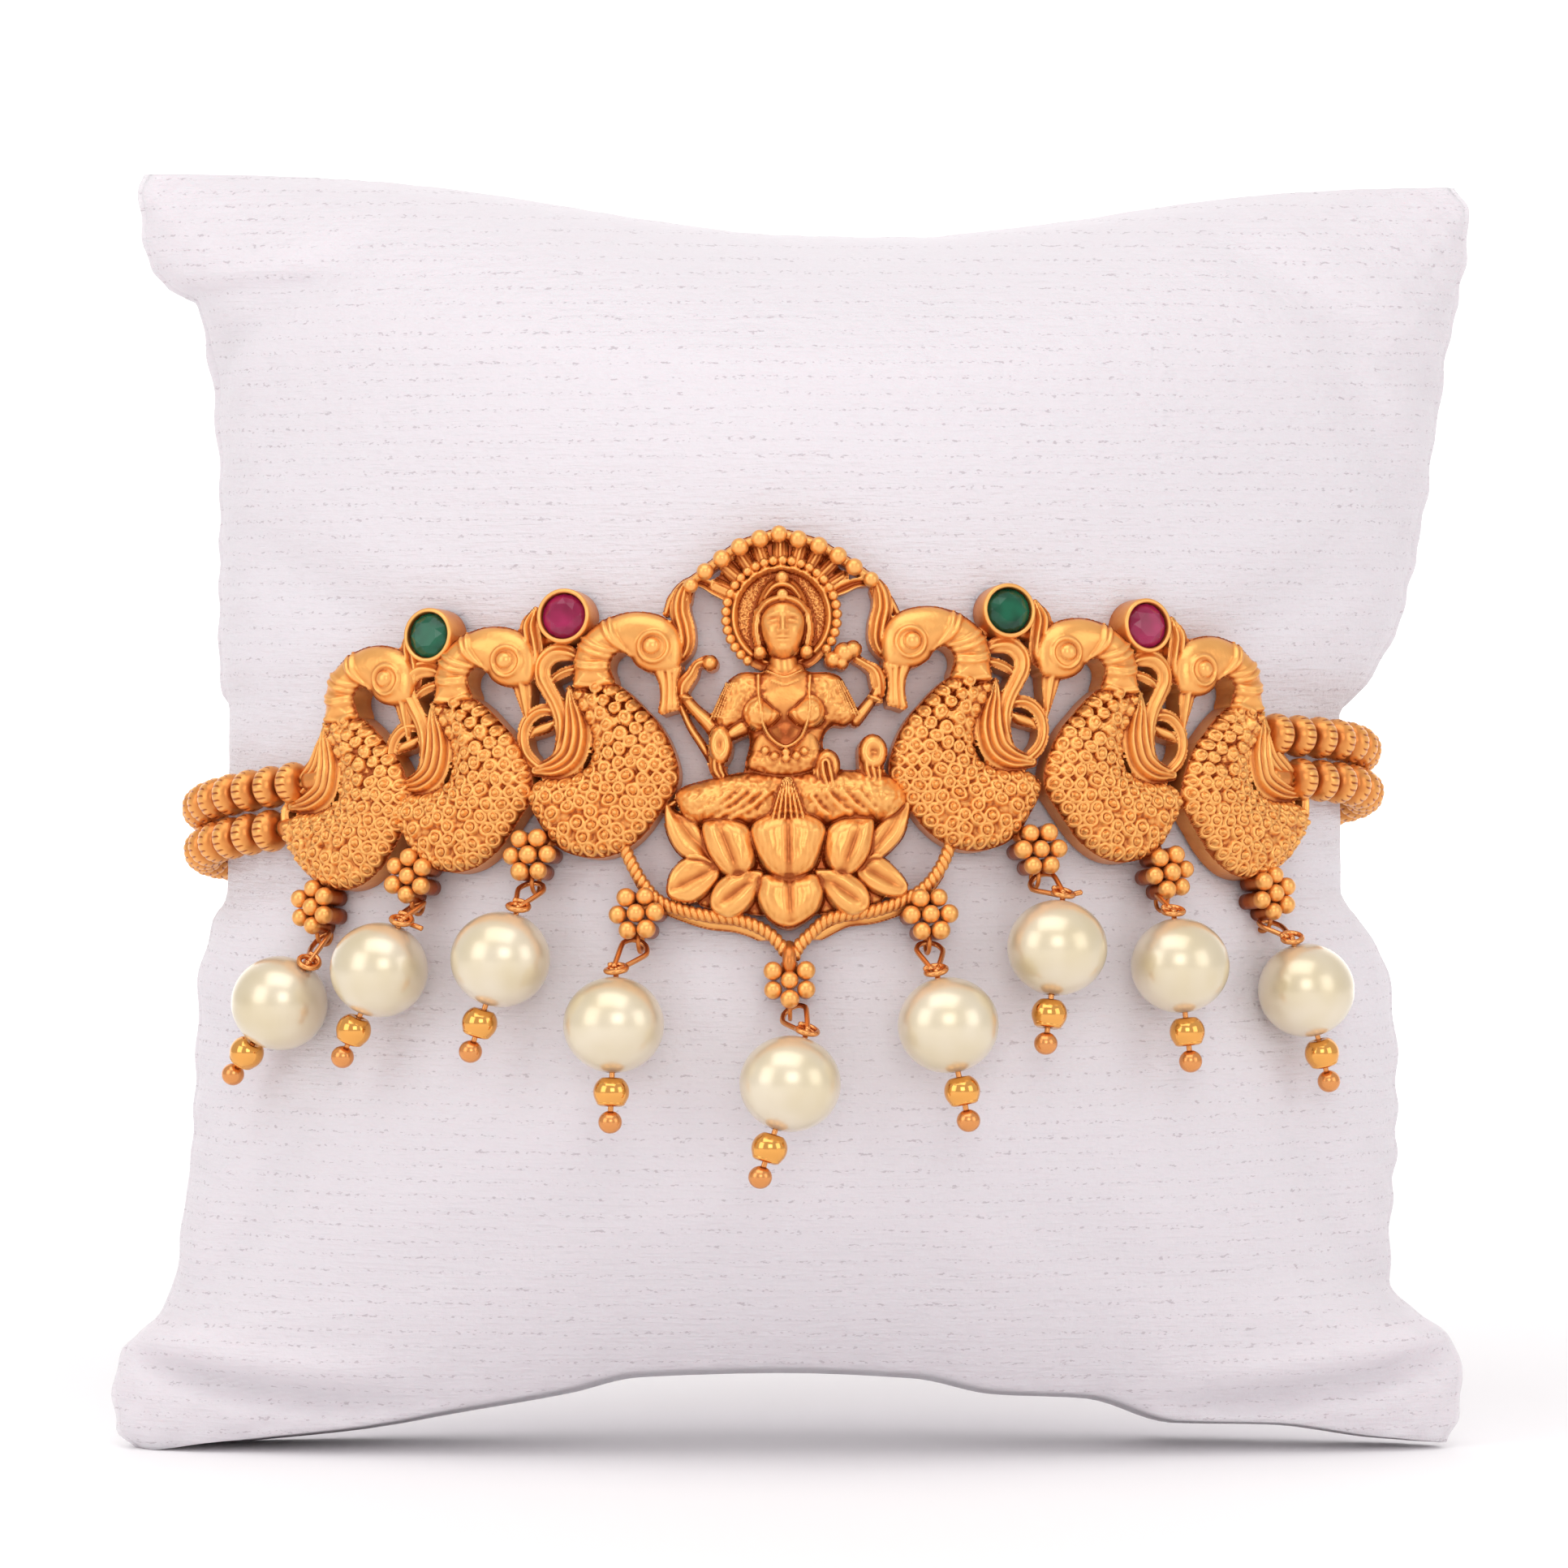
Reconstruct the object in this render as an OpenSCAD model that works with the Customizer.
// Bajuband armlet on a display pillow, in millimetres.
// A cast openwork front of six peacocks and a seated goddess bends round the pillow's waist.
// Two strings of beads close the band round the back, and nine pearl drops hang in front.
// X runs to the right, Y to the back and Z up. The pillow leans back on its flattened base.

/* [Wrap] */
// radius of the broad front and back curves of the band
front_radius = 65; // [58:0.5:75]
// angle from the middle of a broad curve to its end
broad_half_angle = 46; // [42:0.5:50]
// radius of the tight curves at the two sides
side_radius = 17.8; // [15:0.2:22]
// height of the middle of the cast front above the base, as a share of the pillow's height
band_share = 0.4874; // [0.47:0.005:0.52]
// turn of the cast front in the plane of the pillow, right side up
front_turn = 0.9; // [0:0.1:3]
// gap between pieces that seat on each other
seat_gap = 0.3; // [0.2:0.05:0.5]

/* [Pillow] */
// how far the pillow leans back
lean = 8; // [4:0.5:10]
// height from the base to the top corners, along the pillow
pillow_height = 119; // [108:0.5:130]
// extra half width at the corners, past the waist
corner_reach = 10.5; // [6:0.5:14]
// extra half width of the side lobes, past the waist
side_swell = 5; // [2:0.25:8]
// rise of the bottom edge between the bottom corners
bottom_arch = 7.5; // [3:0.25:11]
// fall of the top edge between the top corners
top_dip = 6.3; // [3:0.25:10]

/* [Cast front] */
// half the arc that the cast front covers
cast_half_arc = 51; // [46:0.5:53]
// height of a peacock from its body to the top of its head
bird_height = 21.8; // [18:0.2:25]
// how many widths of a peacock, tail to breast, go into half the arc
birds_in_half_arc = 3.75; // [3.6:0.05:4]
// height of a peacock's relief at the crest of the body
bird_relief = 3.8; // [3:0.1:5]
// how many widths of the shrine, arm to arm, go into half the arc
shrines_in_half_arc = 2.5; // [2.4:0.05:2.6]
// height of the shrine from the lotus to the top of the arch
figure_height = 34.6; // [31:0.2:38]
// height of the goddess's relief
figure_relief = 4; // [3:0.1:5]
// diameter of the balls on the arch
arch_ball_dia = 1.5; // [1.2:0.05:1.8]

/* [Stones] */
// diameter of a cut stone
stone_dia = 4; // [3.4:0.1:4.6]
// depth of a cut stone
stone_depth = 2.2; // [1.8:0.1:2.8]
// wall of a bezel
bezel_wall = 0.45; // [0.35:0.05:0.6]
// height of a bezel
bezel_height = 3.1; // [2.6:0.1:3.6]
// gap round a stone in its bezel
stone_gap = 0.12; // [0.1:0.01:0.2]

/* [Flowers] */
// diameter of a ball in a flower
flower_ball_dia = 1.66; // [1.4:0.02:1.8]
// height of a flower's plate
flower_depth = 3.1; // [2.6:0.1:3.6]
// radius of the hole in the eye behind a flower
eye_hole = 0.72; // [0.6:0.02:0.9]

/* [Drops] */
// diameter of a pearl
pearl_dia = 8.5; // [7:0.1:9]
// diameter of the small gold bead under a pearl
gold_bead_dia = 3; // [2.4:0.1:3.4]
// diameter of the ball at the end of a drop's pin
end_ball_dia = 2; // [1.6:0.1:2.4]
// diameter of the wire of a drop
drop_wire_dia = 0.56; // [0.4:0.02:0.7]
// gap between a bead's hole and its wire
hole_gap = 0.12; // [0.1:0.01:0.2]
// gap between beads on one wire
bead_gap = 0.12; // [0.1:0.01:0.2]
// height of a pearl's middle over the back of the cast front
pearl_rise = 5.1; // [4.9:0.1:6.5]

/* [Bead strings] */
// diameter of a band bead
band_bead_dia = 3.8; // [3.4:0.1:4]
// length of a band bead
band_bead_length = 2.5; // [2:0.05:2.7]
// spacing of the beads along a string
band_bead_pitch = 2.9; // [2.75:0.05:3.4]
// distance between the two strings
string_spacing = 3.95; // [3.92:0.01:4.6]
// height of the middle of the strings over the middle of the cast front
string_rise = 1.55; // [0:0.05:3]
// slope of the strings, right side up
string_slope = 2; // [0:0.1:3]
// diameter of a thread
thread_dia = 0.6; // [0.4:0.05:0.8]

/* [Hidden] */
$fn = 48;

// Path of the wrap
// the broad arcs' centre stands this far from the middle of the pillow
arc_offset = (front_radius - side_radius) * cos(broad_half_angle);
side_centre = (front_radius - side_radius) * sin(broad_half_angle);
half_depth = front_radius - arc_offset;
half_width = side_centre + side_radius;
band_height = pillow_height * band_share;
bird_width = cast_half_arc / birds_in_half_arc;
figure_width = cast_half_arc / shrines_in_half_arc;
radian = 180 / PI;

// point on the wrap whose outward normal turns by a from the front, at e outside it
function wrap_at(a, e) =
    let (t = (a % 360 + 540) % 360 - 180, side = t < 0 ? -1 : 1, q = abs(t))
    q <= broad_half_angle
        ? [(front_radius + e) * sin(t), arc_offset - (front_radius + e) * cos(t)]
    : q < 180 - broad_half_angle
        ? [side * side_centre + (side_radius + e) * sin(t), -(side_radius + e) * cos(t)]
        : [(front_radius + e) * sin(t), -arc_offset - (front_radius + e) * cos(t)];

function broad_arc(e) = (front_radius + e) * broad_half_angle / radian;
function side_arc(e) = (side_radius + e) * (180 - 2 * broad_half_angle) / radian;
function half_loop(e) = 2 * broad_arc(e) + side_arc(e);

// angle of the normal at an arc length s from the front middle, to the right round the back
function half_angle_at(s, e) =
    s <= broad_arc(e) ? s / (front_radius + e) * radian
    : s <= broad_arc(e) + side_arc(e)
        ? broad_half_angle + (s - broad_arc(e)) / (side_radius + e) * radian
        : 180 - (half_loop(e) - s) / (front_radius + e) * radian;
function angle_at(s, e) =
    s < 0 ? -half_angle_at(-s, e)
    : s <= half_loop(e) ? half_angle_at(s, e) : 360 - half_angle_at(2 * half_loop(e) - s, e);

// the cast front is laid out flat at this distance outside the wrap
flat_offset = 2.5;

module leaning() {
    rotate([-lean, 0, 0])
        children();
}

module worn() {
    leaning()
        translate([0, 0, band_height])
            rotate([0, -front_turn, 0])
                children();
}

// lays a flat piece, drawn in X and Y with its relief along Z, on the wrap at arc s and height h
module on_wrap(s, h = 0) {
    a = angle_at(s, flat_offset);
    p = wrap_at(a, 0);
    translate([p[0], p[1], h])
        rotate([0, 0, a])
            rotate([90, 0, 0])
                children();
}

// Lofts
// solid through rings of points of equal count, closed at both ends
module loft(rings) {
    n = len(rings[0]);
    m = len(rings);
    sides = [for (i = [0 : m - 2], j = [0 : n - 1])
        let (k = (j + 1) % n, a = i * n + j, b = i * n + k, c = a + n, d = b + n)
        each [[a, b, d], [a, d, c]]];
    first = [for (j = [1 : n - 2]) [0, j + 1, j]];
    last = [for (j = [1 : n - 2]) [(m - 1) * n, (m - 1) * n + j, (m - 1) * n + j + 1]];
    polyhedron([for (r = rings) each r], concat(sides, first, last), convexity = 8);
}

// half profiles across a stroke, as shares of its half width and height
dome_profile = [[-1, 0], [-1, 0.55], [-0.45, 0.96], [0.45, 0.96], [1, 0.55], [1, 0]];
petal_profile = [[-1, 0], [-1, 0.55], [0, 1], [1, 0.55], [1, 0]];
flat_profile = [[-1, 0], [-0.85, 1], [0.85, 1], [1, 0]];
ribbon_profile = [[-1, 0], [0, 1], [1, 0]];

function unit(v) = v / max(norm(v), 0.0001);
function along(rows, i) =
    let (a = rows[max(i - 1, 0)], b = rows[min(i + 1, len(rows) - 1)])
    unit([b[0] - a[0], b[1] - a[1]]);

// raised stroke along a path. Columns: x, y, half width, height, in millimetres
module stroke(rows, profile) {
    loft([for (i = [0 : len(rows) - 1])
        let (r = rows[i], t = along(rows, i))
        [for (p = profile) [r[0] - t[1] * p[0] * r[2], r[1] + t[0] * p[0] * r[2], p[1] * r[3]]]]);
}

// scales a table of shares. x and half widths follow the width, y the height, height the relief
function sized(rows, width, height, relief) =
    [for (r = rows) [r[0] * width, r[1] * height, r[2] * width, r[3] * relief]];

// low dome with its rim on the plane z = base
module dome(radius, rise, base = 0, sides = 8) {
    translate([0, 0, base])
        rotate_extrude($fn = sides)
            polygon([[0, 0], [radius, 0], [radius * 0.8, rise * 0.62], [0, rise]]);
}

// Pillow
// Columns: height share, corner share, side swell share, depth share
pillow_rows = [
    [0, 0.88, 0, 0.36],
    [0.026, 0.96, 0, 0.46],
    [0.052, 1, 0, 0.56],
    [0.078, 0.92, 0, 0.65],
    [0.104, 0.52, 0.1, 0.73],
    [0.13, 0.36, 0.25, 0.8],
    [0.175, 0.22, 0.45, 0.9],
    [0.235, 0.1, 0.6, 0.985],
    [0.305, 0, 0.6, 1.012],
    [0.365, 0, 0.5, 1],
    [0.4, 0, 0.2, 1],
    [0.43, 0, 0, 1],
    [0.57, 0, 0, 1],
    [0.6, 0, 0.3, 1],
    [0.655, 0.04, 0.7, 1],
    [0.74, 0.1, 0.8, 1.015],
    [0.83, 0.22, 0.7, 0.97],
    [0.88, 0.38, 0.4, 0.86],
    [0.92, 0.62, 0.1, 0.7],
    [0.955, 0.9, 0, 0.5],
    [0.982, 1, 0, 0.3],
    [1, 0.88, 0, 0.06]];
// angles of the pillow's upright lines of points, closer at the sides
pillow_angles = [for (q = [0 : 3]) each
    q % 2 == 0
        ? [for (i = [0 : 7]) q * 90 - broad_half_angle + i * broad_half_angle / 4]
        : [for (i = [0 : 7]) q * 90 - 90 + broad_half_angle
            + i * (180 - 2 * broad_half_angle) / 8]];
// the pillow's point rows start this far under the base plane, which cuts them flat
base_sink = 1.4;

function edge_fall(x, reach, power) = pow(max(cos(90 * min(abs(x) / reach, 1)), 0), power);

function pillow_ring(r) =
    [for (a = pillow_angles)
        let (p = wrap_at(a, -seat_gap),
            outward = abs(p[0]) / half_width,
            swell = side_swell * r[2] * pow(max(outward - 0.84, 0) / 0.16, 1.3),
            x = p[0] * (1 + corner_reach * r[1] / half_width) + sign(p[0]) * swell,
            low = bottom_arch * edge_fall(x, half_width * 0.93, 1.2) - base_sink,
            high = pillow_height - top_dip * edge_fall(x, half_width * 0.98, 1.3))
        [x, p[1] * r[3], low + (high - low) * r[0]]];

module display_pillow() {
    color("white")
        difference() {
            leaning()
                loft([for (r = pillow_rows) pillow_ring(r)]);
            translate([0, 0, -half_width])
                cube([4 * half_width, 4 * half_width, 2 * half_width], center = true);
        }
}

// Peacocks
// body in level slices. Columns: height share, left share, right share, crest share
bird_body_rows = [
    [0, -0.12, 0.05, 0.55],
    [0.031, -0.26, 0.16, 0.72],
    [0.077, -0.37, 0.27, 0.86],
    [0.14, -0.43, 0.34, 0.95],
    [0.2, -0.46, 0.41, 1],
    [0.263, -0.5, 0.49, 1],
    [0.324, -0.3, 0.5, 1],
    [0.386, -0.16, 0.48, 0.97],
    [0.48, -0.08, 0.43, 0.92],
    [0.571, -0.12, 0.31, 0.86],
    [0.633, -0.17, 0.19, 0.82],
    [0.69, -0.19, 0.1, 0.78]];
// neck and head along their arch. Columns: x share, y share, half width share, crest share
bird_neck_rows = [
    [-0.05, 0.66, 0.14, 0.78],
    [-0.045, 0.735, 0.15, 0.86],
    [-0.025, 0.78, 0.13, 0.78],
    [0.01, 0.83, 0.152, 0.86],
    [0.075, 0.88, 0.14, 0.78],
    [0.14, 0.905, 0.15, 0.86],
    [0.24, 0.91, 0.15, 0.84],
    [0.33, 0.865, 0.175, 0.88],
    [0.375, 0.805, 0.17, 0.88],
    [0.4, 0.75, 0.13, 0.8],
    [0.42, 0.705, 0.07, 0.62]];
bird_beak_rows = [
    [0.41, 0.74, 0.07, 0.62],
    [0.455, 0.6, 0.055, 0.48],
    [0.46, 0.575, 0.03, 0.4]];
// feather and scroll strokes in the hollow of the back, the same columns
bird_feather_rows = [
    [-0.08, 0.6, 0.08, 0.6],
    [-0.12, 0.52, 0.1, 0.62],
    [-0.18, 0.43, 0.12, 0.64],
    [-0.35, 0.345, 0.09, 0.58],
    [-0.49, 0.3, 0.06, 0.5]];
bird_scroll_rows = [
    [-0.2, 0.79, 0.03, 0.4],
    [-0.28, 0.825, 0.045, 0.5],
    [-0.37, 0.8, 0.045, 0.55],
    [-0.4, 0.75, 0.045, 0.55],
    [-0.36, 0.67, 0.05, 0.58],
    [-0.275, 0.56, 0.06, 0.6],
    [-0.27, 0.46, 0.06, 0.6],
    [-0.33, 0.4, 0.05, 0.58]];
bird_curl_rows = [
    [-0.36, 0.545, 0.05, 0.46],
    [-0.4, 0.61, 0.035, 0.5],
    [-0.48, 0.59, 0.035, 0.5],
    [-0.535, 0.53, 0.035, 0.5],
    [-0.54, 0.46, 0.035, 0.52],
    [-0.49, 0.39, 0.04, 0.55],
    [-0.44, 0.34, 0.05, 0.55]];
// broad tail of the two birds at the ends, in place of the scroll and curl
bird_tail_rows = [
    [-0.1, 0.2, 0.2, 0.96],
    [-0.3, 0.212, 0.19, 0.88],
    [-0.46, 0.222, 0.15, 0.74],
    [-0.55, 0.23, 0.09, 0.6],
    [-0.59, 0.234, 0.045, 0.5]];
// crest ribbon from the head up to the next bezel, for the two outer birds of a side
bird_crest_rows = [
    [0.43, 0.74, 0.03, 0.5],
    [0.465, 0.81, 0.05, 0.6],
    [0.47, 0.88, 0.05, 0.62],
    [0.43, 0.98, 0.048, 0.6],
    [0.49, 1.045, 0.03, 0.5]];
eye_place = [0.36, 0.843];
eye_share = 0.098;

module bird_stroke(rows, profile) {
    stroke(sized(rows, bird_width, bird_height, bird_relief), profile);
}

module bird_body() {
    loft([for (r = bird_body_rows)
        let (mid = (r[1] + r[2]) / 2 * bird_width, half = (r[2] - r[1]) / 2 * bird_width)
        [for (p = dome_profile)
            [mid - half * p[0], r[0] * bird_height, p[1] * r[3] * bird_relief]]]);
}

module bird(crested, scrolled) {
    bird_body();
    bird_stroke(bird_neck_rows, dome_profile);
    bird_stroke(bird_beak_rows, flat_profile);
    bird_stroke(bird_feather_rows, flat_profile);
    if (scrolled) {
        bird_stroke(bird_scroll_rows, flat_profile);
        bird_stroke(bird_curl_rows, ribbon_profile);
    } else {
        bird_stroke(bird_tail_rows, dome_profile);
    }
    if (crested)
        bird_stroke(bird_crest_rows, ribbon_profile);
    translate([eye_place[0] * bird_width, eye_place[1] * bird_height, 0])
        dome(eye_share * bird_width, bird_relief * 0.3, bird_relief * 0.76, 8);
}

// Columns: arc share of the body's foot, height of the foot in bird heights, faces, crested,
// scroll at the back
bird_places = [
    [-0.816, -0.366, 1, true, false],
    [-0.58, -0.33, 1, true, true],
    [-0.318, -0.303, 1, false, true],
    [0.318, -0.3, -1, false, true],
    [0.596, -0.33, -1, true, true],
    [0.868, -0.372, -1, true, false]];

module birds() {
    for (b = bird_places)
        on_wrap(b[0] * cast_half_arc, b[1] * bird_height)
            scale([b[2], 1, 1])
                bird(b[3], b[4]);
}

// Shrine in the middle
// foot of the lotus: arc and height in the cast front
figure_foot = [0.3, -13.1];
// torso in level slices. Columns: height share, left share, right share, crest share
torso_rows = [
    [0.36, -0.18, 0.18, 0.7],
    [0.45, -0.16, 0.16, 0.74],
    [0.5, -0.22, 0.22, 0.88],
    [0.57, -0.27, 0.265, 0.78],
    [0.632, -0.24, 0.23, 0.58],
    [0.65, -0.1, 0.09, 0.55],
    [0.7, -0.08, 0.07, 0.55]];
head_rows = [
    [0.675, -0.035, 0.02, 0.6],
    [0.7, -0.086, 0.072, 0.86],
    [0.76, -0.108, 0.094, 1],
    [0.822, -0.098, 0.084, 0.95],
    [0.852, -0.075, 0.06, 0.84],
    [0.872, -0.04, 0.026, 0.6]];
lap_rows = [
    [0.262, -0.36, 0.36, 0.7],
    [0.3, -0.49, 0.5, 0.82],
    [0.337, -0.5, 0.51, 0.9],
    [0.368, -0.43, 0.44, 0.85],
    [0.386, -0.3, 0.33, 0.66]];
// arms and scarf tips along their paths. Columns: x share, y share, half width share, crest share
figure_strokes = [
    [[-0.27, 0.5, 0.06, 0.5], [-0.36, 0.545, 0.045, 0.5], [-0.445, 0.59, 0.036, 0.5],
        [-0.44, 0.635, 0.046, 0.56], [-0.405, 0.67, 0.036, 0.5], [-0.33, 0.675, 0.03, 0.5]],
    [[0.29, 0.47, 0.06, 0.5], [0.37, 0.54, 0.036, 0.5], [0.405, 0.6, 0.036, 0.5],
        [0.385, 0.65, 0.046, 0.56], [0.3, 0.685, 0.03, 0.5], [0.24, 0.7, 0.05, 0.5]],
    [[-0.26, 0.6, 0.07, 0.55], [-0.3, 0.53, 0.065, 0.62], [-0.29, 0.47, 0.058, 0.72],
        [-0.285, 0.42, 0.05, 0.72], [-0.3, 0.35, 0.05, 0.66]],
    [[0.26, 0.6, 0.07, 0.55], [0.31, 0.53, 0.06, 0.6], [0.37, 0.47, 0.06, 0.74],
        [0.37, 0.41, 0.06, 0.76], [0.36, 0.34, 0.05, 0.66]],
    [[0.19, 0.47, 0.04, 0.6], [0.175, 0.42, 0.05, 0.78], [0.18, 0.34, 0.045, 0.76]],
    [[-0.42, 0.33, 0.05, 0.6], [-0.53, 0.3, 0.035, 0.45], [-0.62, 0.295, 0.02, 0.35]],
    [[0.42, 0.33, 0.05, 0.6], [0.53, 0.3, 0.035, 0.45], [0.62, 0.295, 0.02, 0.35]]];
bud_places = [[-0.325, 0.676, 0.035], [0.268, 0.695, 0.055]];
// middle line of the arch, with the ribbons that run down to the inner peacocks
arch_rows = [
    [-0.48, 0.705, 0.04, 0.5],
    [-0.475, 0.75, 0.052, 0.55],
    [-0.49, 0.795, 0.052, 0.55],
    [-0.462, 0.837, 0.048, 0.5],
    [-0.403, 0.872, 0.032, 0.42],
    [-0.34, 0.906, 0.032, 0.42],
    [-0.27, 0.938, 0.032, 0.42],
    [-0.186, 0.966, 0.032, 0.42],
    [-0.105, 0.984, 0.032, 0.42],
    [-0.018, 0.992, 0.032, 0.42],
    [0.067, 0.984, 0.032, 0.42],
    [0.15, 0.966, 0.032, 0.42],
    [0.235, 0.938, 0.032, 0.42],
    [0.312, 0.907, 0.032, 0.42],
    [0.382, 0.872, 0.032, 0.42],
    [0.445, 0.837, 0.048, 0.5],
    [0.465, 0.795, 0.052, 0.55],
    [0.452, 0.75, 0.052, 0.55],
    [0.46, 0.705, 0.04, 0.5]];
// the balls sit on these rows of the arch
arch_ball_rows = [for (i = [4 : 14]) i];
nimbus_place = [-0.007, 0.79];
nimbus_share = 0.272;
// half profile of the nimbus: share of its radius, share of the relief
nimbus_profile = [[0, 0], [1, 0], [0.96, 0.34], [0.84, 0.3], [0.76, 0.44], [0.68, 0.26],
    [0, 0.26]];
spoke_angles = [for (i = [-4 : 4]) i * 16];
spoke_share = 0.036;
// Columns: base x, base y, tip x, tip y, half width share, crest share
petal_rows = [
    [-0.368, 0.15, -0.52, 0.312, 0.066, 0.72],
    [0.368, 0.15, 0.515, 0.312, 0.066, 0.72],
    [-0.18, 0.125, -0.315, 0.278, 0.1, 0.92],
    [0.18, 0.125, 0.31, 0.278, 0.1, 0.92],
    [0.004, 0.115, -0.004, 0.28, 0.15, 1],
    [-0.32, 0.16, -0.504, 0.091, 0.075, 0.72],
    [0.32, 0.16, 0.49, 0.091, 0.075, 0.72],
    [-0.14, 0.13, -0.308, 0.039, 0.085, 0.84],
    [0.14, 0.13, 0.305, 0.039, 0.085, 0.84],
    [0.004, 0.13, 0.006, 0, 0.13, 0.94]];
// a petal from its base to its tip. Columns: length share, half width share, crest share
petal_shape = [[0, 0.42, 0.7], [0.4, 0.92, 0.95], [0.78, 0.95, 1], [1, 0.45, 0.62]];
lotus_back = [[-0.46, 0.29], [0.46, 0.29], [0.42, 0.1], [0.44, 0.05], [0.25, 0.02],
    [0.12, 0.01], [-0.12, 0.01], [-0.25, 0.02], [-0.44, 0.05], [-0.42, 0.1]];
// the swag of rope wire, left half, from the inner peacock to the middle flower
rope_rows = [
    [-0.711, 0.215, 0.028, 0.5],
    [-0.675, 0.13, 0.028, 0.5],
    [-0.58, 0.073, 0.028, 0.5],
    [-0.46, 0.045, 0.028, 0.5],
    [-0.284, 0.033, 0.028, 0.5],
    [-0.147, 0.002, 0.028, 0.5],
    [-0.04, -0.055, 0.028, 0.5],
    [-0.018, -0.1, 0.028, 0.5]];

function in_figure(x, y) = [x * figure_width, y * figure_height, 0];

module figure_stroke(rows, profile) {
    stroke(sized(rows, figure_width, figure_height, figure_relief), profile);
}

module figure_slices(rows) {
    loft([for (r = rows)
        let (mid = (r[1] + r[2]) / 2 * figure_width, half = (r[2] - r[1]) / 2 * figure_width)
        [for (p = dome_profile)
            [mid - half * p[0], r[0] * figure_height, p[1] * r[3] * figure_relief]]]);
}

module petal(r) {
    figure_stroke([for (s = petal_shape)
        [r[0] + (r[2] - r[0]) * s[0], r[1] + (r[3] - r[1]) * s[0], r[4] * s[1], r[5] * s[2]]],
        petal_profile);
}

module nimbus() {
    radius = nimbus_share * figure_width;
    translate(in_figure(nimbus_place[0], nimbus_place[1])) {
        rotate_extrude($fn = 16)
            polygon([for (p = nimbus_profile) [p[0] * radius, p[1] * figure_relief]]);
        // flat spokes run from the nimbus out to the arch
        for (a = spoke_angles)
            rotate([0, 0, a])
                hull()
                    for (end = [radius * 0.99, radius * 1.32])
                        translate([0, end, figure_relief * 0.16])
                            cube([spoke_share * figure_width, 0.4, figure_relief * 0.32],
                                center = true);
    }
}

module shrine() {
    on_wrap(figure_foot[0], figure_foot[1]) {
        figure_slices(torso_rows);
        figure_slices(head_rows);
        figure_slices(lap_rows);
        for (rows = figure_strokes)
            figure_stroke(rows, flat_profile);
        for (b = bud_places)
            translate(in_figure(b[0], b[1])) {
                cylinder(r = b[2] * figure_width, h = figure_relief * 0.5, $fn = 8);
                dome(b[2] * figure_width * 0.85, figure_relief * 0.24, figure_relief * 0.42, 7);
            }
        nimbus();
        figure_stroke(arch_rows, flat_profile);
        for (i = arch_ball_rows)
            translate(in_figure(arch_rows[i][0], arch_rows[i][1]))
                dome(arch_ball_dia / 2, arch_ball_dia / 2, figure_relief * 0.4, 6);
        for (r = petal_rows)
            petal(r);
        linear_extrude(height = figure_relief * 0.36)
            polygon([for (p = lotus_back) [p[0] * figure_width, p[1] * figure_height]]);
        for (side = [1, -1])
            scale([side, 1, 1])
                figure_stroke(rope_rows, flat_profile);
    }
}

// Bezels
// Columns: arc share, height in the cast front as a share of a peacock's height
stone_places = [[-0.637, 0.64], [-0.381, 0.679], [0.398, 0.674], [0.662, 0.638]];
bezel_radius = stone_dia / 2 + stone_gap + bezel_wall;
stone_seat = bezel_height - stone_depth * 0.62;

module bezel() {
    difference() {
        cylinder(r = bezel_radius, h = bezel_height, $fn = 14);
        translate([0, 0, stone_seat - stone_gap])
            cylinder(r = bezel_radius - bezel_wall, h = bezel_height, $fn = 14);
    }
    // a small foot joins each bezel to the necks beside it
    hull()
        for (end = [-1, 1])
            translate([end * bezel_radius * 0.95, -bezel_radius * 0.75, 0])
                cylinder(r = bezel_wall * 1.6, h = bezel_height * 0.5, $fn = 6);
}

module bezels() {
    for (p = stone_places)
        on_wrap(p[0] * cast_half_arc, p[1] * bird_height)
            bezel();
}

// brilliant cut with an eight-sided table, a thin girdle and a flat culet
module cut_stone() {
    table_top = stone_seat + stone_depth;
    girdle = stone_seat + stone_depth * 0.55;
    hull() {
        translate([0, 0, table_top - 0.02])
            rotate([0, 0, 22.5])
                cylinder(r = stone_dia * 0.29, h = 0.02, $fn = 8);
        translate([0, 0, girdle])
            cylinder(r = stone_dia / 2, h = stone_depth * 0.08, $fn = 12);
        translate([0, 0, stone_seat])
            cylinder(r = stone_dia * 0.16, h = 0.02, $fn = 8);
    }
}

module stone(i, tint) {
    color(tint)
        worn()
            on_wrap(stone_places[i][0] * cast_half_arc, stone_places[i][1] * bird_height)
                cut_stone();
}

// Flowers and drops
// Columns: arc share, height, turn of the first ball, pearl's x and y from the flower,
// lean of the pin from straight down, side of the wire's loose end or 0 for none
flower_places = [
    [-0.89, -9.5, 30, -2.1, -8.6, -45, 0],
    [-0.681, -7.45, 24, -1.7, -8.4, -28, 0],
    [-0.447, -6.25, 0, -1.9, -9.3, -20, 0],
    [-0.257, -11.8, 2, -1.6, -9.9, -3, -1],
    [0.004, -18, 30, -0.1, -9.2, -18, 0],
    [0.247, -12.3, 2, 0.9, -9.9, 11, -1],
    [0.446, -6.45, 3, 0.5, -8.9, -8, 0],
    [0.697, -8.15, 12, -0.6, -8.5, 6, -1],
    [0.927, -9.5, 24, 1.6, -8.8, 18, 0]];
flower_ring = flower_ball_dia;
flower_back = flower_depth - 0.95;
eye_radius = eye_hole + 0.42;
eye_width = 0.55;
eye_drop = 2.4;
eye_rise = 1.55;

// half profile of a ball and the metal under it. Columns: reach in ball widths, rise over the plate
// the six-sided posts run a little into each other
post_share = 0.61;
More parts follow.
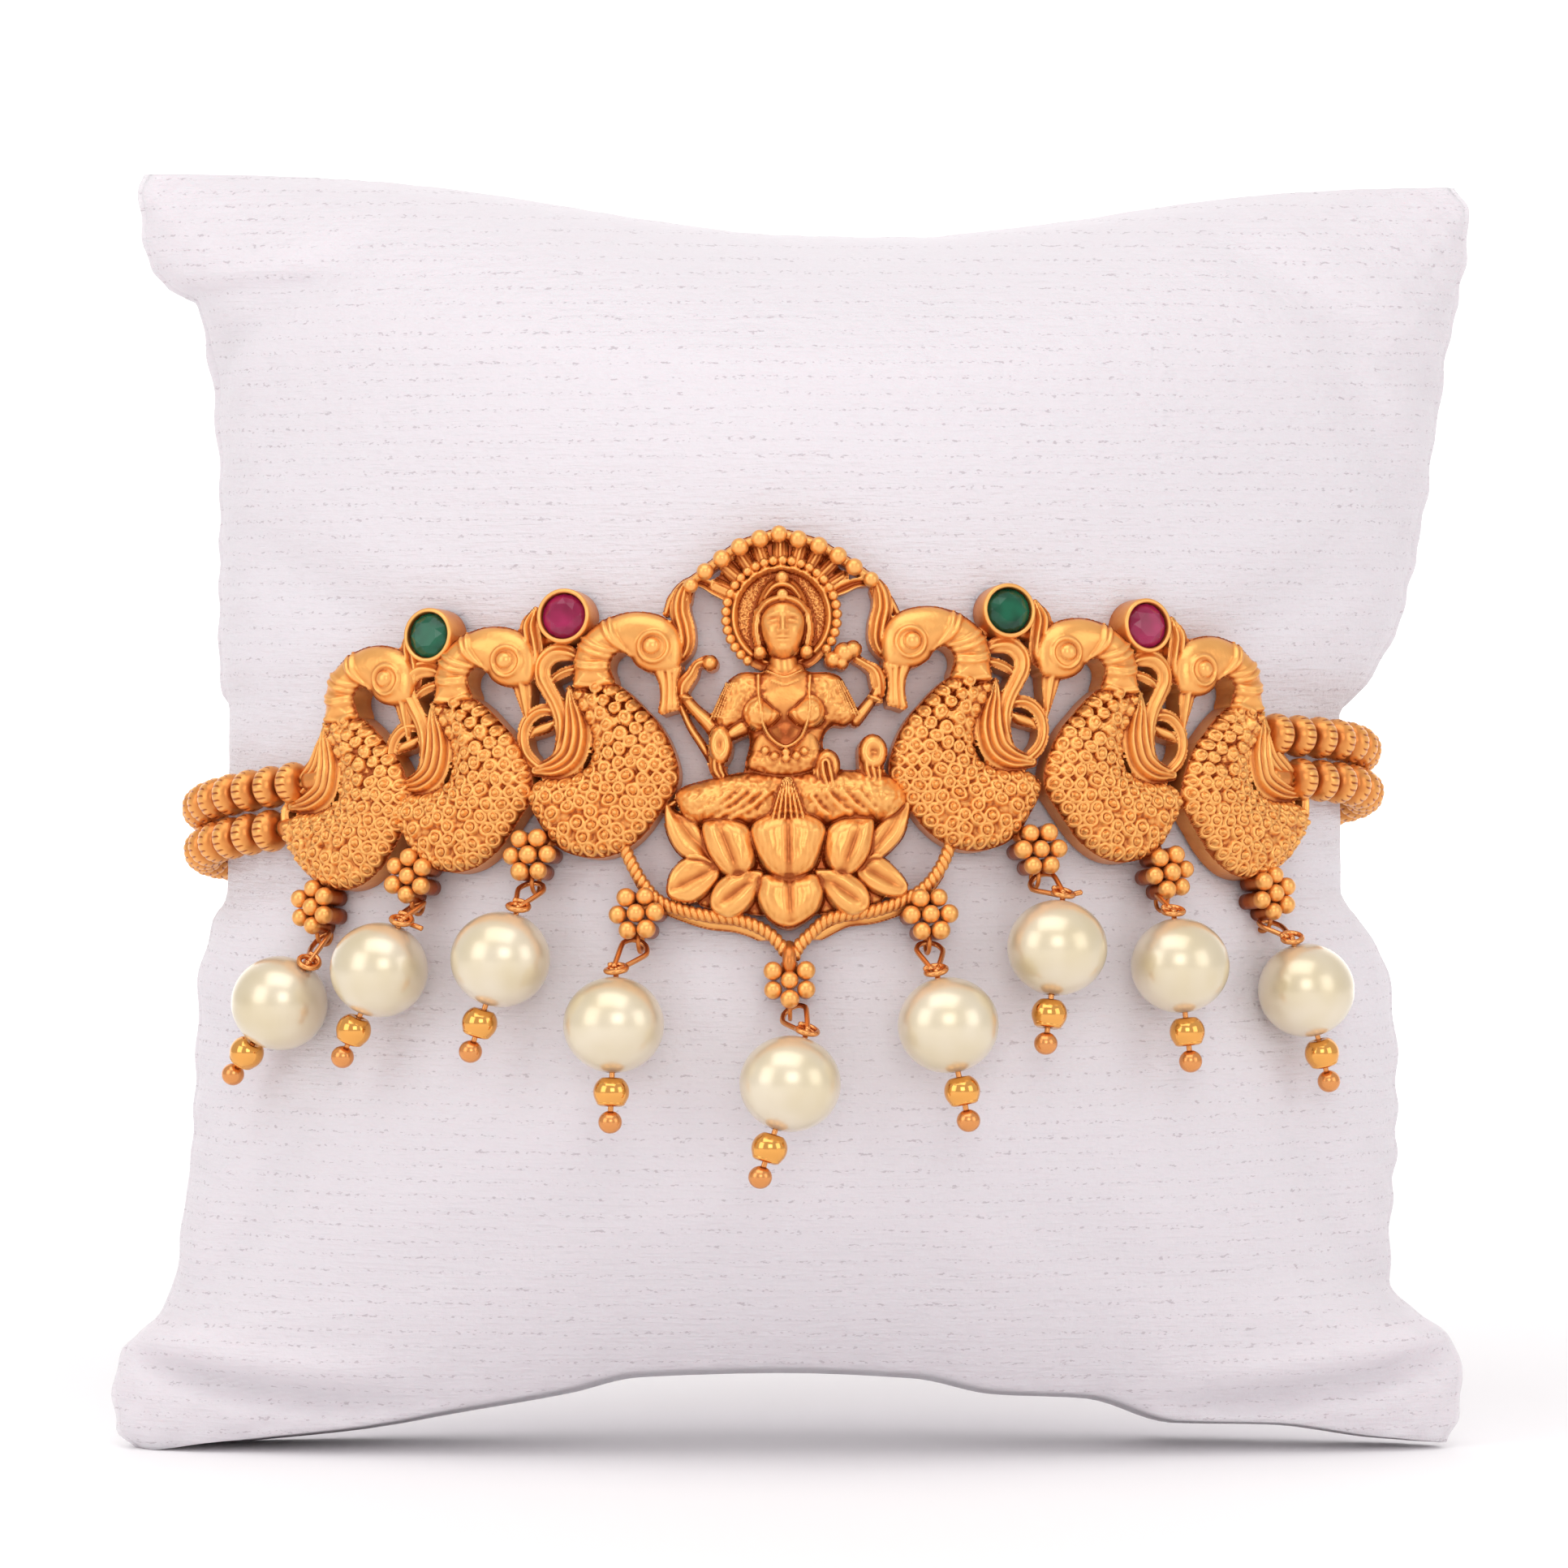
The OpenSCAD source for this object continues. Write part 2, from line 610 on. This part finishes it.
// each ball stands a little higher than the one before it, as hand-laid balls do
ball_step = 0.02;
ball_profile = [[0, 0.54], [0.43, 0.34], [post_share, -0.04]];

module flower(turn) {
    post = flower_ball_dia * post_share;
    rotate([0, 0, turn])
        for (i = [-1 : 5])
            rotate([0, 0, i * 60])
                translate([i < 0 ? 0 : flower_ring, 0, ball_step * i])
                    rotate([0, 0, 30])
                        rotate_extrude($fn = 6)
                            polygon(concat([[0, flower_back]], [[post, flower_back]],
                                [for (k = [2 : -1 : 0])
                                    [ball_profile[k][0] * flower_ball_dia,
                                    flower_depth + ball_profile[k][1] * flower_ball_dia]]));
    // the eye that the drop hooks into
    translate([0, -eye_drop, eye_rise])
        rotate([0, 90, 0])
            difference() {
                cylinder(r = eye_radius, h = eye_width, center = true, $fn = 6);
                cylinder(r = eye_hole, h = eye_width * 2, center = true, $fn = 4);
            }
}

// short struts carry the flowers from the metal above them. Columns: x, y from the flower
strut_reach = [[0.6, 3], [0.8, 2.6], [1.6, 1.8], [1, 1.2], [0, 1.6],
    [-1, 1.2], [-1.6, 1.8], [-0.8, 2.6], [-1, 2.6]];

module flowers() {
    for (i = [0 : len(flower_places) - 1])
        let (f = flower_places[i])
            on_wrap(f[0] * cast_half_arc, f[1]) {
                flower(f[2]);
                hull() {
                    translate([0, 0, flower_back * 0.6])
                        cylinder(r = flower_ball_dia * 0.5, h = flower_depth - flower_back * 0.6,
                            $fn = 4);
                    translate([strut_reach[i][0], strut_reach[i][1], 0.2])
                        cylinder(r = flower_ball_dia * 0.5, h = flower_depth * 0.6, $fn = 4);
                }
            }
}

wire = drop_wire_dia / 2;
hole = wire + hole_gap;
pearl_radius = pearl_dia / 2;
loop_radius = 1.15;
coil_radius = wire * 3;
// one of two bent lengths that meet is this much thicker and takes the other's end in
splice = 0.02;
splice_length = 0.15;
// from the middle of a pearl up to the coil, and down to the bead and the end ball
coil_up = pearl_radius + wire + 0.3;
bead_down = pearl_radius + bead_gap + gold_bead_dia / 2;
ball_down = bead_down + gold_bead_dia / 2 + bead_gap + end_ball_dia / 2;

function pin_way(f) = [sin(f[5]), -cos(f[5]), 0];
function pearl_at(f) = [f[3], f[4], pearl_rise];
function hook_at() = [0, -eye_drop, eye_rise];
function coil_at(f) = pearl_at(f) - pin_way(f) * coil_up;

module rod(a, b, radius) {
    d = b - a;
    translate(a)
        rotate([0, acos(d[2] / norm(d)), atan2(d[1], d[0])])
            cylinder(r = radius, h = norm(d));
}

module at_flower(f) {
    worn()
        on_wrap(f[0] * cast_half_arc, f[1])
            children();
}

// hooked loop, coil, pin and end ball, bent from one head pin
module drop_wire(i) {
    f = flower_places[i];
    way = pin_way(f);
    coil = coil_at(f);
    down = unit(coil - hook_at());
    // the loop lies in the plane of X and the way down to the coil
    cross_way = unit([1, 0, 0] - down * down[0]);
    facing = cross(cross_way, -down);
    middle = hook_at() + down * loop_radius;
    // the two straight legs leave the loop where they are tangent to it
    leg_angle = acos(loop_radius / norm(coil - middle));
    color("sandybrown")
        at_flower(f) {
            multmatrix([[cross_way[0], -down[0], facing[0], middle[0]],
                [cross_way[1], -down[1], facing[1], middle[1]],
                [cross_way[2], -down[2], facing[2], middle[2]]])
                rotate([0, 0, leg_angle - 90])
                    rotate_extrude(angle = 360 - 2 * leg_angle)
                        translate([loop_radius, 0])
                            circle(r = wire + splice);
            for (side = [-1, 1])
                let (out = cross_way * side * sin(leg_angle) + down * cos(leg_angle),
                    start = middle + out * loop_radius,
                    back = unit(start - coil) * splice_length)
                    rod(start + back, coil + facing * side * wire * 0.4,
                        wire * (side > 0 ? 1 : 0.93));
            // the wire's end is wound round the pin in a close coil
            translate(coil)
                rotate([90, 0, f[5]])
                    cylinder(r = coil_radius, h = wire * 2.6, center = true);
            rod(coil, pearl_at(f) + way * ball_down, wire);
            if (f[6] != 0)
                let (tail = f[6] * [cos(f[5]), sin(f[5]), 0])
                    rod(coil, coil + tail * (coil_radius + 1.1), wire * 0.9);
            translate(pearl_at(f) + way * ball_down)
                sphere(r = end_ball_dia / 2);
        }
}

module drilled_ball(i, down, radius, tint) {
    f = flower_places[i];
    color(tint)
        at_flower(f)
            translate(pearl_at(f) + pin_way(f) * down)
                rotate([90, 0, f[5]])
                    difference() {
                        sphere(r = radius);
                        cylinder(r = hole, h = radius * 3, center = true);
                    }
}

module pearl(i) {
    drilled_ball(i, 0, pearl_radius, "ivory");
}

module gold_bead(i) {
    drilled_ball(i, bead_down, gold_bead_dia / 2, "gold");
}

// Bead strings
bead_out = band_bead_dia / 2 + 0.1;
thread_hole = thread_dia / 2 + hole_gap;
// how far inside the arc's ends the strings start. Columns: left, right, height step
string_insets = [[4.35, 3.6, 0.5], [1.1, 0.8, -0.5]];
string_ends = [for (r = string_insets) [cast_half_arc - r[0], cast_half_arc - r[1], r[2]]];
// the thread eyes behind the end peacocks are this long and stand this clear of the first bead
thread_eye_length = 2;
thread_eye_gap = 0.25;
thread_eye_wall = 0.45;
thread_plate = 1.1;

module in_band() {
    worn()
        rotate([0, -string_slope, 0])
            translate([0, 0, string_rise])
                children();
}

module at_string(s, level) {
    a = angle_at(s, bead_out);
    p = wrap_at(a, bead_out);
    translate([p[0], p[1], level * string_spacing])
        rotate([0, 0, a])
            children();
}

module band_bead() {
    rotate([0, 90, 0])
        difference() {
            intersection() {
                sphere(r = band_bead_dia / 2);
                cylinder(r = band_bead_dia, h = band_bead_length, center = true);
            }
            cylinder(r = thread_hole, h = band_bead_dia, center = true);
        }
}

module bead_string(row) {
    ends = string_ends[row];
    run = 2 * half_loop(bead_out) - ends[0] - ends[1];
    count = floor(run / band_bead_pitch);
    color("goldenrod")
        in_band()
            for (i = [0 : count - 1])
                at_string(ends[1] + (i + 0.5) * run / count, ends[2])
                    band_bead();
}

// an arc of thread on a centre, from one angle of the wrap to another
module thread_arc(centre, radius, from, to, extra = 0) {
    lap = extra > 0 ? splice_length / radius * radian : 0;
    translate([centre[0], centre[1], 0])
        rotate([0, 0, from - lap - 90])
            rotate_extrude(angle = to - from + 2 * lap)
                translate([radius, 0])
                    circle(r = thread_dia / 2 + extra);
}

module thread(row) {
    ends = string_ends[row];
    start = angle_at(ends[1] - thread_eye_length - thread_eye_gap, bead_out);
    finish = 360 - angle_at(ends[0] - thread_eye_length - thread_eye_gap, bead_out);
    turn = broad_half_angle;
    broad = front_radius + bead_out;
    tight = side_radius + bead_out;
    color("tan")
        in_band()
            translate([0, 0, ends[2] * string_spacing]) {
                thread_arc([0, arc_offset], broad, start, turn);
                thread_arc([side_centre, 0], tight, turn, 180 - turn, splice);
                thread_arc([0, -arc_offset], broad, 180 - turn, 180 + turn);
                thread_arc([-side_centre, 0], tight, 180 + turn, 360 - turn, splice);
                thread_arc([0, arc_offset], broad, 360 - turn, finish);
            }
}

// each thread end is held in a short tube on a plate behind the end peacock
module thread_eye() {
    cylinder(r = thread_hole + thread_eye_wall, h = thread_eye_length, center = true, $fn = 6);
    translate([bead_out / 2, 0, 0])
        cube([bead_out, thread_hole * 2, thread_eye_length * 0.9], center = true);
    translate([bead_out - thread_plate / 2, 0, -thread_eye_length * 0.1])
        cube([thread_plate, string_spacing * 0.9, thread_eye_length], center = true);
}

module at_thread_eyes() {
    back = thread_eye_length / 2 + thread_eye_gap;
    in_band()
        for (ends = string_ends, side = [0, 1])
            at_string(side == 0 ? back - ends[0] : ends[1] - back, ends[2])
                rotate([0, side == 0 ? -90 : 90, 0])
                    mirror([side == 0 ? 1 : 0, 0, 0])
                        children();
}

module cast_front() {
    color("darkgoldenrod")
        difference() {
            union() {
                worn() {
                    birds();
                    shrine();
                    bezels();
                    flowers();
                }
                at_thread_eyes()
                    thread_eye();
            }
            at_thread_eyes()
                translate([0, 0, -thread_eye_length / 2 - hole_gap])
                    cylinder(r = thread_hole + 0.05, h = thread_eye_length * 2, $fn = 6);
        }
}

display_pillow();
cast_front();
stone(0, "green");  // green_stone_left
stone(1, "crimson");  // ruby_stone_left
stone(2, "green");  // green_stone_right
stone(3, "crimson");  // ruby_stone_right
for (i = [0 : 8]) {
    drop_wire(i);
    pearl(i);
    gold_bead(i);
}
bead_string(0);  // bead_string_upper
bead_string(1);  // bead_string_lower
thread(0);  // thread_upper
thread(1);  // thread_lower
